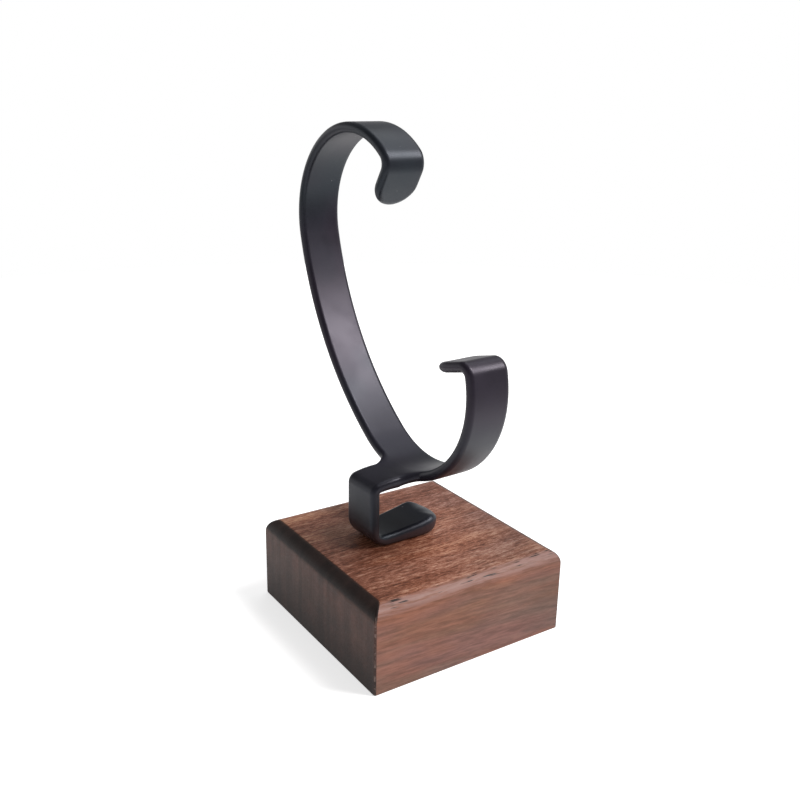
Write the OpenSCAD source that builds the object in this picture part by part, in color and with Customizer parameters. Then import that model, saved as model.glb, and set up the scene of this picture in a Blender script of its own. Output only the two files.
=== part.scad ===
// Watch stand: a square walnut block that carries one formed metal bracket.
// The bracket is a flat strip bent to an open C-ring, with a lip at each end.
// A tab leaves the lowest point of the ring sideways, drops as a riser and
// turns back under the ring as a foot, which one screw holds from below.
// Origin at the middle of the block's underside, +Z up, the ring opens to -Y.

/* [Block] */
// Side of the square block
block_side = 50; // [44:1:80]
// Height of the block
block_height = 20; // [15:0.5:35]
// Radius of the rounded top edges
top_round = 3.3; // [1:0.1:5]
// Radius of the four upright corners
corner_round = 0.5; // [0.2:0.1:3]

/* [Strip] */
// Width of the ring's strip
strip_width = 10.8; // [9:0.1:13]
// Thickness of the ring's strip
strip_thickness = 2.4; // [2.2:0.1:3]
// Radius of the strip's rounded edges
edge_round = 0.8; // [0.3:0.1:0.9]

/* [Ring] */
// Height of the ring's lowest point over the block
ring_lift = 13.8; // [12:0.1:25]
// Radius of the bend behind the lowest point
heel_radius = 23.1; // [18:0.1:30]
// Angle of the bend behind the lowest point
heel_angle = 36.5; // [30:0.1:42]
// Radius of the long, flat curve up the back
spine_radius = 77.6; // [60:0.1:95]
// Angle of the long, flat curve up the back
spine_angle = 39.3; // [30:0.1:45]
// Radius of the bend at the upper back
crown_radius = 21.6; // [18:0.1:26]
// Angle of the bend at the upper back
crown_angle = 73; // [60:0.1:80]
// Radius of the bend over the top
brow_radius = 20.6; // [17:0.1:26]
// Angle of the bend over the top
brow_angle = 70.2; // [60:0.1:80]
// Radius of the bend in front of the lowest point
toe_radius = 22.9; // [18:0.1:30]
// Angle of the bend in front of the lowest point
toe_angle = 58.2; // [50:0.1:65]
// Radius of the front arm
arm_radius = 22.5; // [18:0.1:30]
// Angle of the front arm
arm_angle = 45.8; // [38:0.1:52]

/* [Lips] */
// Radius of the bend into the upper lip
upper_bend_radius = 2.1; // [2:0.1:5]
// Angle of the bend into the upper lip
upper_bend_angle = 81.5; // [70:0.5:95]
// Length of the upper lip from its bend
upper_lip = 9.8; // [7:0.1:14]
// Radius of the bend into the lower lip
lower_bend_radius = 2.2; // [2:0.1:5]
// Angle of the bend into the lower lip
lower_bend_angle = 90.5; // [80:0.5:100]
// Length of the lower lip from its bend
lower_lip = 9.2; // [7:0.1:14]

/* [Foot] */
// Width of the tab, the riser and the foot
foot_width = 10.4; // [8:0.1:12]
// Thickness of the foot
foot_thickness = 3.6; // [2.8:0.1:4]
// Distance from the screw to the riser's outer face
riser_reach = 16.4; // [15:0.1:22]
// Outer radius of the bend from the tab to the riser
tab_bend = 4.2; // [3.5:0.1:5]
// Outer radius of the bend from the riser to the foot
foot_bend = 5; // [4.5:0.1:6.5]
// Distance from the screw to the foot's round end
foot_tip = 4.3; // [4.2:0.1:6]
// Radius of the rounded edges at the foot's round end
tip_round = 1.3; // [0.8:0.1:1.3]
// Radius of the fillets where the tab joins the ring
tab_fillet = 1.1; // [0.5:0.1:2]
// Place of the screw along X, from the middle of the block
screw_x = 4; // [-5:0.1:5]
// Place of the screw along Y, from the middle of the block
screw_y = 2.8; // [-5:0.1:5]
// Turn of the bracket about its screw
bracket_turn = 2.5; // [-10:0.5:10]

/* [Screw] */
// Diameter of the screw's thread
thread_diameter = 3; // [2.5:0.5:4]
// Clearance round the screw in the block
screw_clearance = 0.2; // [0.1:0.05:0.4]
// Diameter of the screw's head
head_diameter = 5.6; // [5.2:0.1:7]
// Height of the screw's head
head_height = 2.2; // [1.8:0.1:3]
// Depth of the head below the block's underside
head_sink = 2.5; // [1:0.1:5]
// Width across the flats of the driver's recess
recess_width = 2; // [1.5:0.1:2.5]
// Depth of the driver's recess
recess_depth = 1.2; // [0.8:0.1:1.4]
// Metal left over the end of the threaded hole
blind_skin = 0.8; // [0.5:0.1:1.2]

/* [Hidden] */
$fn = 96;

// Play between the screw's thread and its hole
thread_play = 0.05;
// Room between the screw's end and the end of its hole
thread_end_gap = 0.3;
// Room round the screw's head for the driver
head_room = 0.5;
// Eased edge of the screw's head
head_ease = 0.4;
// Step from the ring's faces to the tab's faces
tab_step = 0.1;
// Length of the tab's root inside the ring
tab_root = 3;
// Lift of the tab's underside at the ring's edge
edge_lift = 0.5;
// Lifts of a station whose two faces stay level
no_lift = [0, 0];
// Angle between stations along a wide bend, a tight bend and a round end
wide_step = 4;
tight_step = 9;
tip_step = 10;
// Angles of the lines of points along a rounded edge
edge_angles = [0, 30, 60, 90];

thread_depth = foot_thickness - blind_skin;
counterbore_depth = head_sink + head_height;
counterbore_radius = head_diameter / 2 + head_room;
ring_half = [strip_width / 2, strip_thickness / 2];
foot_half = [foot_width / 2, foot_thickness / 2];
tab_half = [foot_width / 2, strip_thickness / 2 - tab_step];
ring_start = [0, ring_lift + ring_half[1]];
tab_top = ring_lift + strip_thickness - tab_step;

// Bends from the lowest point up the back, and from it up the front:
// radius, angle and the angle between stations
back_bends = [
    [heel_radius, heel_angle, wide_step],
    [spine_radius, spine_angle, wide_step],
    [crown_radius, crown_angle, wide_step],
    [brow_radius, brow_angle, wide_step],
    [upper_bend_radius, upper_bend_angle, tight_step]
];
front_bends = [
    [toe_radius, toe_angle, wide_step],
    [arm_radius, arm_angle, wide_step],
    [lower_bend_radius, lower_bend_angle, tight_step]
];

// Inset and drop, for a radius of 1, and side of each line of points round a
// plate's edge. The left face is side 1 and the right face is side -1.
edge_lines = concat(
    [for (a = edge_angles) [1 - sin(a), 1 - cos(a), 1]],
    [for (a = edge_angles) [1 - cos(a), 1 - sin(a), -1]]
);

// Unit vector along a heading
function along(heading) = [cos(heading), sin(heading)];

// Unit vector to the left of a heading
function left_of(heading) = [-sin(heading), cos(heading)];

// Point reached after turning left through an angle
function turned(start, heading, radius, angle) =
    start + radius * (left_of(heading) - left_of(heading + angle));

// Points and headings along a chain of left bends, with its end
function chain(bends, start, heading, i = 0) =
    i == len(bends) ? [[start, heading]] :
    let (
        radius = bends[i][0],
        angle = bends[i][1],
        step = angle / ceil(angle / bends[i][2])
    )
    concat(
        [for (a = [0:step:angle - step / 2]) [turned(start, heading, radius, a), heading + a]],
        chain(bends, turned(start, heading, radius, angle), heading + angle, i + 1)
    );

// A station is [point, heading, tip angle, half width and half thickness,
// lift of the left and the right face, edge radius]. The tip angle runs to 90
// round a plate's round end. A lift of 1 takes a face up the ring's curve.
function strip_run(bends, lip) =
    let (
        path = chain(bends, ring_start, 0),
        last = path[len(path) - 1],
        centre = last[0] + (lip - ring_half[0]) * along(last[1])
    )
    concat(
        [for (p = path) [p[0], p[1], 0, ring_half, no_lift, edge_round]],
        [for (a = [0:tip_step:90]) [centre, last[1], a, ring_half, no_lift, edge_round]]
    );

// The same stations on the other side of the lowest point, end first
function reversed(run) = [
    for (i = [len(run) - 1:-1:1])
        let (s = run[i]) [[-s[0][0], s[0][1]], -s[1], -s[2], s[3], s[4], s[5]]
];

// Stations of the ring from the lower lip's end to the upper lip's end
ring_stations = concat(
    reversed(strip_run(front_bends, lower_lip)),
    strip_run(back_bends, upper_lip)
);

// Half width and half thickness part of the way from one plate to the next
function between(from, to, share) = from + (to - from) * share;

// Centre of a plate on a bend that is given by its outer radius
function on_outer(centre, radius, angle, half) = centre - (radius - half[1]) * left_of(angle);

// Extra half width of the tab's fillet at a distance from the ring's edge
function flare(gap) = tab_fillet - sqrt(pow(tab_fillet, 2) - pow(tab_fillet - max(gap, 0), 2));

// Stations of the foot, the riser and the tab, from the foot's round end.
// They run towards -X at first, turn up and come back over the foot. The
// tab's top rises into the ring's curve, and its underside stays level.
foot_stations = let (
    tip_centre = [foot_half[0] - foot_tip, foot_half[1]],
    low_centre = [riser_reach - foot_bend, foot_bend],
    high_centre = [riser_reach - tab_bend, tab_top - tab_bend],
    tab_length = high_centre[0] - ring_half[0] - tab_fillet,
    tab_middle = tab_top - tab_half[1]
)
concat(
    [for (a = [-90:tip_step:0]) [tip_centre, 0, a, foot_half, no_lift, tip_round]],
    [for (a = [0:tight_step:90])
        let (half = between(foot_half, tab_half, a / 90))
        [on_outer(low_centre, foot_bend, a, half), a, 0, half, no_lift, edge_round]],
    [for (a = [90:tight_step:180])
        [on_outer(high_centre, tab_bend, a, tab_half), a, 0, tab_half, no_lift, edge_round]],
    [for (share = [0.25, 0.5, 0.75])
        let (place = [high_centre[0] - share * tab_length, tab_middle])
        [place, 180, 0, tab_half, [0, share], edge_round]],
    [for (share = [1, 0.8, 0.6, 0.4, 0.2, 0])
        let (gap = share * tab_fillet, half = tab_half + [flare(gap), 0])
        [[ring_half[0] + gap, tab_middle], 180, 0, half, [(1 - share) * edge_lift, 1], edge_round]],
    [for (share = [0.35, 0.7, 1])
        let (place = [ring_half[0] - share * tab_root, tab_middle])
        [place, 180, 0, tab_half + [tab_fillet, 0], [between(edge_lift, 1, share), 1], edge_round]]
);

// Rise of the ring's curve at a distance from its lowest point
function ring_rise(y) =
    let (radius = y < 0 ? toe_radius : heel_radius)
    radius - sqrt(pow(radius, 2) - y * y);

// Point of one edge line beside a station, on side 1 or -1
function edge_point(station, side, line) =
    let (
        half = station[3] - station[5] * [line[0], line[1]],
        across = side * half[0] * cos(station[2]),
        place = station[0] + half[0] * sin(station[2]) * along(station[1])
            + line[2] * half[1] * left_of(station[1]),
        lift = station[4][line[2] > 0 ? 0 : 1]
    )
    [across, place[0], place[1] + lift * ring_rise(across)];

// Plate with rounded edges, bent along its stations. An end is round where
// its station has a tip angle of 90, and square elsewhere.
module bent_plate(stations) {
    n = len(stations);
    first = abs(stations[0][2]) == 90 ? 1 : 0;
    last = abs(stations[n - 1][2]) == 90 ? 1 : 0;
    // Each edge line goes out on one side and comes back on the other
    ring = concat(
        [for (i = [0:n - 1]) [i, 1]],
        [for (i = [n - 1 - last:-1:first]) [i, -1]]
    );
    m = len(ring);
    lines = len(edge_lines);
    function back(i) = (2 * n - 1 - last - i) % m;
    function cap(i) = concat(
        [i, i + 1],
        back(i + 1) == i + 1 ? [] : [back(i + 1)],
        back(i) == i ? [] : [back(i)]
    );
    polyhedron(
        points = [for (line = edge_lines, r = ring) edge_point(stations[r[0]], r[1], line)],
        faces = concat(
            [for (k = [0:lines - 2], i = [0:m - 1])
                [k * m + i, k * m + (i + 1) % m, (k + 1) * m + (i + 1) % m, (k + 1) * m + i]],
            [for (i = [0:n - 2]) let (c = cap(i)) [for (j = [len(c) - 1:-1:0]) c[j]]],
            [for (i = [0:n - 2]) [for (c = cap(i)) (lines - 1) * m + c]]
        )
    );
}

// Side view of the block: a rectangle with its two top corners rounded
module block_outline() {
    translate([-block_side / 2, 0]) square([block_side, block_height - top_round]);
    translate([top_round - block_side / 2, 0]) square([block_side - 2 * top_round, block_height]);
    for (side = [-1, 1])
        translate([side * (block_side / 2 - top_round), block_height - top_round])
            circle(r = top_round);
}

// Plan of the block: a square with small round corners
module block_plan() {
    inner = block_side - 2 * corner_round;
    square([block_side, inner], center = true);
    square([inner, block_side], center = true);
    for (x = [-1, 1], y = [-1, 1])
        translate([x, y] * inner / 2) circle(r = corner_round);
}

// Block outline as a bar along Y
module block_bar() {
    rotate([90, 0, 0]) linear_extrude(block_side, center = true) block_outline();
}

// Puts a thing on the screw's axis at the block's top, turned with the bracket
module at_screw() {
    translate([screw_x, screw_y, block_height]) rotate([0, 0, bracket_turn]) children();
}

// Walnut block with its screw hole and counterbore
module wood_base() {
    color("#6b4634")
    difference() {
        intersection() {
            block_bar();
            rotate([0, 0, 90]) block_bar();
            linear_extrude(block_height) block_plan();
        }
        at_screw() {
            translate([0, 0, -block_height - 1])
                cylinder(r = thread_diameter / 2 + screw_clearance, h = block_height + 2);
            translate([0, 0, -block_height - 1])
                cylinder(r = counterbore_radius, h = counterbore_depth + 1);
        }
    }
}

// C-ring, tab, riser and foot in one piece
module ring_bracket() {
    color("#26262a")
    at_screw()
    difference() {
        union() {
            bent_plate(ring_stations);
            rotate([0, 0, 90]) bent_plate(foot_stations);
        }
        translate([0, 0, -1]) cylinder(r = thread_diameter / 2, h = thread_depth + 1);
    }
}

// Screw from below with a hexagonal recess in its head
module fixing_screw() {
    radius = head_diameter / 2;
    stem = thread_depth - thread_end_gap + block_height - counterbore_depth;
    color("#8d8d92")
    at_screw()
    translate([0, 0, head_sink - block_height])
    difference() {
        union() {
            rotate_extrude() polygon([
                [0, 0],
                [radius - head_ease, 0],
                [radius, head_ease],
                [radius, head_height],
                [0, head_height]
            ]);
            cylinder(r = thread_diameter / 2 - thread_play, h = head_height + stem);
        }
        translate([0, 0, -1]) cylinder(r = recess_width / sqrt(3), h = recess_depth + 1, $fn = 6);
    }
}

wood_base();
ring_bracket();
fixing_screw();
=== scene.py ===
"""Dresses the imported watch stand: a walnut block that carries one black formed bracket."""
import logging
import math
from dataclasses import dataclass, field
from enum import Enum

import bmesh
import bpy
from mathutils import Matrix, Vector


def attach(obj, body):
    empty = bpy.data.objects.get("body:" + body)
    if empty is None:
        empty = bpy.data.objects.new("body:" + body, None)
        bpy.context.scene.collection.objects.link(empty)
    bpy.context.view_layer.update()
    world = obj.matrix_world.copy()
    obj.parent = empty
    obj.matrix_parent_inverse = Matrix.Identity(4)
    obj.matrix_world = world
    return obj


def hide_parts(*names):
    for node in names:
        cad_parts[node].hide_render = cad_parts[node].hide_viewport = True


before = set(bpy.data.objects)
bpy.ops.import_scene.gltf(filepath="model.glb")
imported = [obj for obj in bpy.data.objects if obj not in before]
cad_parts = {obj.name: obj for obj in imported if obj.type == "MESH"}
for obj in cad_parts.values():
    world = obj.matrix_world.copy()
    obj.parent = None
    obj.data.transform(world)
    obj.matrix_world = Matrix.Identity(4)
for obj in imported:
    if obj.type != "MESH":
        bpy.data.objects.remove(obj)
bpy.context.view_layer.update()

MM = 0.001
# Points closer together than this are one.
MERGE = 0.001 * MM
# Points this close to a place count as being there.
NEAR = 0.01 * MM
BODY = "root"
LOG = logging.getLogger("watch_stand")

X_AXIS = Vector((1.0, 0.0, 0.0))
Y_AXIS = Vector((0.0, 1.0, 0.0))
Z_AXIS = Vector((0.0, 0.0, 1.0))
# The hidden screw's axis, round which the bracket is turned on the block.
SCREW = Vector((4.0, 2.8, 0.0)) * MM
BLOCK_HEIGHT = 20.0 * MM

Triple = tuple[float, float, float]
Colour = Triple
Span = tuple[float, float]
Socket = bpy.types.NodeSocket
EdgeLoop = list[bmesh.types.BMEdge]

WHITE: Colour = (1.0, 1.0, 1.0)
# A mix node has its inputs for values and for colours at these places, and its mixed colour at the last.
MIX_VALUES = (2, 3)
MIX_COLOURS = (6, 7)
MIXED_COLOUR = 2


class Slot(Enum):
    """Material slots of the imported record."""

    WALNUT = "walnut"
    COATING = "black_coating"
    STEEL = "screw_steel"


def rgba(colour: Colour) -> tuple[float, float, float, float]:
    """Returns a colour with an opaque alpha."""
    return (*colour, 1.0)


def eased(value: float, low: float, high: float) -> float:
    """Eases a value, from 0 at the low end to 1 at the high end."""
    share = min(max((value - low) / (high - low), 0.0), 1.0)
    return share * share * (3 - 2 * share)


def loop_verts(edges: EdgeLoop) -> list[bmesh.types.BMVert]:
    """Returns the vertices of some edges, each once and in the order in which they are met."""
    return list(dict.fromkeys(v for e in edges for v in e.verts))


def extrude_loop(bm: bmesh.types.BMesh, loop: EdgeLoop) -> tuple[list[bmesh.types.BMVert], EdgeLoop]:
    """Extrudes a loop of edges, without a move.

    Args:
        bm: The mesh.
        loop: The loop to extrude.

    Returns:
        The new vertices and the new loop.
    """
    made = bmesh.ops.extrude_edge_only(bm, edges=loop)["geom"]
    verts = [g for g in made if isinstance(g, bmesh.types.BMVert)]
    fresh = set(verts)
    return verts, [g for g in made if isinstance(g, bmesh.types.BMEdge) and fresh.issuperset(g.verts)]


def new_piece(bm: bmesh.types.BMesh, name: str,
              material: bpy.types.Material) -> bpy.types.Object:
    """Turns a finished bmesh into a piece of the stand.

    Args:
        bm: The mesh in the stand's frame. It is freed.
        name: The piece's name.
        material: The finish that dresses it.

    Returns:
        The object, at the origin, riding on the stand's body.
    """
    bmesh.ops.remove_doubles(bm, verts=bm.verts, dist=MERGE)
    bmesh.ops.recalc_face_normals(bm, faces=bm.faces)
    mesh = bpy.data.meshes.new(name)
    bm.to_mesh(mesh)
    bm.free()
    mesh.materials.append(material)
    piece = bpy.data.objects.new(name, mesh)
    bpy.context.collection.objects.link(piece)
    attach(piece, BODY)
    return piece


@dataclass(frozen=True)
class Pattern:
    """A noise pattern: its rates along and across the X axis per millimetre, and its finer layers."""

    along: float
    across: float
    detail: float
    rough: float


@dataclass(frozen=True)
class Fade:
    """An eased way from one level to another, over a range of some value."""

    low: float
    high: float
    start: float = 0.0
    end: float = 1.0


class NodeGraph:
    """A material's nodes, built from plain calls."""

    def __init__(self, name: str) -> None:
        """Starts an empty material.

        Args:
            name: The material's name.
        """
        self.material = bpy.data.materials.new(name)
        self.material.use_nodes = True
        self.tree = self.material.node_tree
        self.tree.nodes.clear()
        self.output = self.add("ShaderNodeOutputMaterial")

    @classmethod
    def inside(cls, tree: bpy.types.NodeTree) -> "NodeGraph":
        """Starts an empty graph in a node tree that exists.

        Args:
            tree: The tree, whose nodes are removed.

        Returns:
            The graph, without a material.
        """
        graph = cls.__new__(cls)
        graph.tree = tree
        tree.nodes.clear()
        return graph

    def add(self, kind: str, inputs: dict[str | int, object] | None = None,
            **settings: object) -> bpy.types.Node:
        """Adds one node.

        Args:
            kind: The node's type name.
            inputs: Sockets by name or number, each a value or a socket to link.
            settings: The node's own properties.

        Returns:
            The node.
        """
        node = self.tree.nodes.new(kind)
        for key, value in settings.items():
            setattr(node, key, value)
        for key, value in (inputs or {}).items():
            self.feed(node.inputs[key], value)
        return node

    def feed(self, socket: Socket, value: object) -> None:
        """Links a socket to another, or sets its value.

        Args:
            socket: The input to feed.
            value: An output socket, a number or a tuple.
        """
        if isinstance(value, Socket):
            self.tree.links.new(value, socket)
        else:
            socket.default_value = value

    def math(self, operation: str, *values: Socket | float, clamp: bool = False) -> Socket:
        """Adds a math node on one to three values. Clamped, the result stays from 0 to 1."""
        node = self.add("ShaderNodeMath", dict(enumerate(values)), operation=operation, use_clamp=clamp)
        return node.outputs[0]

    def product(self, first: Socket, *others: Socket | float) -> Socket:
        """Multiplies values with one another.

        Args:
            first: The first value.
            others: What it is multiplied by, in order.

        Returns:
            The product.
        """
        for other in others:
            first = self.math("MULTIPLY", first, other)
        return first

    def weigh(self, *parts: tuple[Socket, float]) -> Socket:
        """Adds up values by their weights.

        Args:
            parts: Each value with its weight.

        Returns:
            The sum.
        """
        total = self.product(*parts[0])
        for value, weight in parts[1:]:
            total = self.math("MULTIPLY_ADD", value, weight, total)
        return total

    def vector(self, operation: str, first: Socket | Triple, second: Socket | Triple) -> Socket:
        """Adds a vector math node on two vectors."""
        return self.add("ShaderNodeVectorMath", {0: first, 1: second}, operation=operation).outputs[0]

    def vector_length(self, vector: Socket) -> Socket:
        """Returns the length of a vector."""
        return self.add("ShaderNodeVectorMath", {0: vector}, operation="LENGTH").outputs["Value"]

    def split(self, vector: Socket) -> dict[str, Socket]:
        """Returns the three parts of a vector, by their axes."""
        node = self.add("ShaderNodeSeparateXYZ", {0: vector})
        return {axis: node.outputs[axis] for axis in "XYZ"}

    def stretch(self, vector: Socket, scale: Triple) -> Socket:
        """Scales coordinates by a factor along each axis."""
        return self.add("ShaderNodeMapping", {"Vector": vector, "Scale": scale}).outputs[0]

    def millimetres(self) -> Socket:
        """Returns the piece's own coordinates in millimetres."""
        metres = self.add("ShaderNodeTexCoord").outputs["Object"]
        return self.stretch(metres, (1 / MM, 1 / MM, 1 / MM))

    def facing(self) -> dict[str, Socket]:
        """Returns the three parts of the way that the surface faces."""
        return self.split(self.add("ShaderNodeTexCoord").outputs["Normal"])

    def grey(self, level: Socket) -> Socket:
        """Returns a level as a grey colour."""
        return self.add("ShaderNodeCombineColor", {0: level, 1: level, 2: level}).outputs[0]

    def noise(self, vector: Socket, pattern: Pattern, output: str = "Fac") -> Socket:
        """Adds a noise pattern.

        Args:
            vector: Coordinates in millimetres.
            pattern: The pattern's rates and layers.
            output: The node's output to use.

        Returns:
            The pattern's value, or its colour.
        """
        scaled = self.stretch(vector, (pattern.along, pattern.across, pattern.across))
        inputs = {"Vector": scaled, "Scale": 1.0, "Detail": pattern.detail, "Roughness": pattern.rough}
        return self.add("ShaderNodeTexNoise", inputs).outputs[output]

    def cells(self, vector: Socket, rate: float) -> tuple[Socket, Socket]:
        """Adds a pattern of cells.

        Args:
            vector: The coordinates.
            rate: The number of cells in a unit.

        Returns:
            A value by chance for each cell, and the distance from its middle.
        """
        node = self.add("ShaderNodeTexVoronoi", {"Vector": vector, "Scale": rate})
        chance = self.add("ShaderNodeSeparateColor", {0: node.outputs["Color"]}).outputs[0]
        return chance, node.outputs["Distance"]

    def fade(self, value: Socket, way: Fade) -> Socket:
        """Maps a value to a level of an eased way."""
        inputs = {"Value": value, "From Min": way.low, "From Max": way.high,
                  "To Min": way.start, "To Max": way.end}
        return self.add("ShaderNodeMapRange", inputs, interpolation_type="SMOOTHSTEP").outputs["Result"]

    def ramp(self, value: Socket, stops: tuple[tuple[float, Colour], ...]) -> Socket:
        """Adds a colour ramp.

        Args:
            value: The value that picks the colour.
            stops: Places and colours, in order.

        Returns:
            The colour's socket.
        """
        node = self.add("ShaderNodeValToRGB", {"Fac": value})
        elements = node.color_ramp.elements
        elements.remove(elements[1])
        elements[0].position = stops[0][0]
        elements[0].color = rgba(stops[0][1])
        for place, colour in stops[1:]:
            elements.new(place).color = rgba(colour)
        return node.outputs["Color"]

    def mix(self, share: Socket | float, first: Socket | Colour, second: Socket | Colour,
            blend: str = "MIX") -> Socket:
        """Mixes two colours.

        Args:
            share: How much of the second colour shows.
            first: A colour or its socket.
            second: A colour or its socket.
            blend: The blend mode.

        Returns:
            The mixed colour.
        """
        under, over = (rgba(colour) if isinstance(colour, tuple) else colour for colour in (first, second))
        inputs = {0: share, MIX_COLOURS[0]: under, MIX_COLOURS[1]: over}
        node = self.add("ShaderNodeMix", inputs, data_type="RGBA", blend_type=blend)
        return node.outputs[MIXED_COLOUR]

    def tint(self, colour: Socket | Colour, by: Socket | Colour) -> Socket:
        """Multiplies a colour by another."""
        return self.mix(1.0, colour, by, "MULTIPLY")

    def blend(self, share: Socket, first: Socket | float, second: Socket | float) -> Socket:
        """Mixes two values, by how much of the second counts."""
        inputs = {0: share, MIX_VALUES[0]: first, MIX_VALUES[1]: second}
        return self.add("ShaderNodeMix", inputs, data_type="FLOAT").outputs[0]

    def bump(self, height: Socket, strength: float, depth: float) -> Socket:
        """Turns a height pattern into a normal, by its strength and its depth in metres."""
        inputs = {"Strength": strength, "Distance": depth, "Height": height}
        return self.add("ShaderNodeBump", inputs).outputs[0]

    def surface(self, inputs: dict[str | int, object]) -> bpy.types.Material:
        """Ends the graph in a Principled shader.

        Args:
            inputs: The shader's sockets.

        Returns:
            The finished material.
        """
        shader = self.add("ShaderNodeBsdfPrincipled", inputs)
        self.tree.links.new(shader.outputs[0], self.output.inputs["Surface"])
        return self.material


@dataclass(frozen=True)
class WoodCast:
    """The drift of the wood's hue between a warm and a cool cast."""

    warm: Colour = (1.06, 0.98, 0.84)
    cool: Colour = (0.90, 0.99, 1.12)

    def tint(self, graph: NodeGraph, colour: Socket, share: Socket) -> Socket:
        """Tints a colour, which turns cool where the share is high."""
        return graph.tint(colour, graph.mix(share, self.warm, self.cool))


@dataclass(frozen=True)
class WalnutTop:
    """The planed top, where the pores lie open. Painted shade darkens its left side and both right corners.
    """

    stops: tuple[tuple[float, Colour], ...] = (
        (0.37, (0.040, 0.010, 0.004)),
        (0.44, (0.150, 0.045, 0.022)),
        (0.50, (0.315, 0.120, 0.074)),
        (0.57, (0.540, 0.285, 0.200)),
        (0.64, (0.700, 0.450, 0.350)),
    )
    bands: Pattern = Pattern(0.020, 0.15, 3.0, 0.5)
    band_weight: float = 0.26
    fibre_weight: float = 0.28
    fleck_weight: float = 0.46
    cast: WoodCast = WoodCast()
    cast_drift: Fade = Fade(-12.0, 26.0, 0.0, 0.6)
    patches: Pattern = Pattern(0.03, 0.09, 2.0, 0.5)
    patch_levels: Fade = Fade(0.40, 0.60)
    patch_weight: float = 0.5
    far_slant: float = 0.5
    near_slant: float = -0.8
    # Painted shade: the top is darker at its left side and at its far and near right corners, where less
    # light falls.
    painted_left_shade: Fade = Fade(-24.0, -4.0, 0.70, 1.0)
    painted_far_shade: Fade = Fade(4.0, 30.0, 1.0, 0.82)
    painted_near_shade: Fade = Fade(4.0, 32.0, 1.0, 0.63)

    def colour(self, graph: NodeGraph, bent: Socket, fibres: Socket, flecks: Socket) -> Socket:
        """Colours the top.

        Args:
            graph: The wood's graph.
            bent: The coordinates along the grain.
            fibres: Fine long fibres.
            flecks: Fine short flecks.

        Returns:
            The top's colour.
        """
        bands = graph.noise(bent, self.bands)
        tone = graph.weigh((fibres, self.fibre_weight), (bands, self.band_weight),
                           (flecks, self.fleck_weight))
        spot = graph.split(bent)
        far = graph.math("MULTIPLY_ADD", spot["Y"], self.far_slant, spot["X"])
        near = graph.math("MULTIPLY_ADD", spot["Y"], self.near_slant, spot["X"])
        patches = graph.fade(graph.noise(bent, self.patches), self.patch_levels)
        cool = graph.math("MULTIPLY_ADD", patches, self.patch_weight, graph.fade(far, self.cast_drift))
        colour = self.cast.tint(graph, graph.ramp(tone, self.stops), cool)
        # Painted shade over the top's colour.
        shade = graph.product(graph.fade(spot["X"], self.painted_left_shade), graph.fade(far, self.painted_far_shade),
                              graph.fade(near, self.painted_near_shade))
        return graph.tint(colour, graph.grey(shade))


@dataclass(frozen=True)
class WalnutSide:
    """The smooth sides, with broad soft streaks, a greyer belt at mid height and painted shade at the right
    end.
    """

    red: Colour = (0.252, 0.111, 0.081)
    grey: Colour = (0.206, 0.111, 0.080)
    streaks: Pattern = Pattern(0.022, 0.22, 3.0, 0.55)
    streak_levels: Fade = Fade(0.38, 0.66)
    belt_foot: Fade = Fade(4.0, 9.0)
    belt_top: Fade = Fade(14.0, 10.0, -0.08, 0.14)
    cast: WoodCast = WoodCast()
    hues: Pattern = Pattern(0.035, 0.12, 2.0, 0.5)
    hue_levels: Fade = Fade(0.42, 0.58, 0.1, 0.6)
    hue_rise: Fade = Fade(14.0, 2.0, -0.1, 0.4)
    shades: Pattern = Pattern(0.070, 0.70, 5.0, 0.65)
    specks: Pattern = Pattern(0.30, 2.4, 3.0, 0.70)
    shade_weight: float = 0.28
    fibre_weight: float = 0.40
    speck_weight: float = 0.32
    levels: Fade = Fade(0.36, 0.66, 0.73, 1.36)
    # Painted shade: the sides darken towards the right end.
    painted_right_shade: Fade = Fade(6.0, 25.0, 1.0, 0.84)

    def colour(self, graph: NodeGraph, bent: Socket, fibres: Socket) -> Socket:
        """Colours the sides.

        Args:
            graph: The wood's graph.
            bent: The coordinates along the grain.
            fibres: Fine long fibres.

        Returns:
            The sides' colour.
        """
        spot = graph.split(bent)
        belt = graph.product(graph.fade(spot["Z"], self.belt_foot), graph.fade(spot["Z"], self.belt_top))
        streaks = graph.math("ADD", graph.noise(bent, self.streaks), belt)
        colour = graph.mix(graph.fade(streaks, self.streak_levels), self.red, self.grey)
        hues = graph.fade(graph.noise(bent, self.hues), self.hue_levels)
        cool = graph.math("ADD", hues, graph.fade(spot["Z"], self.hue_rise))
        colour = self.cast.tint(graph, colour, cool)
        shades = graph.noise(bent, self.shades)
        specks = graph.noise(bent, self.specks)
        level = graph.weigh((shades, self.shade_weight), (fibres, self.fibre_weight),
                            (specks, self.speck_weight))
        # Painted shade towards the right end.
        level = graph.product(graph.fade(level, self.levels), graph.fade(spot["X"], self.painted_right_shade))
        return graph.tint(colour, graph.grey(level))


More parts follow.
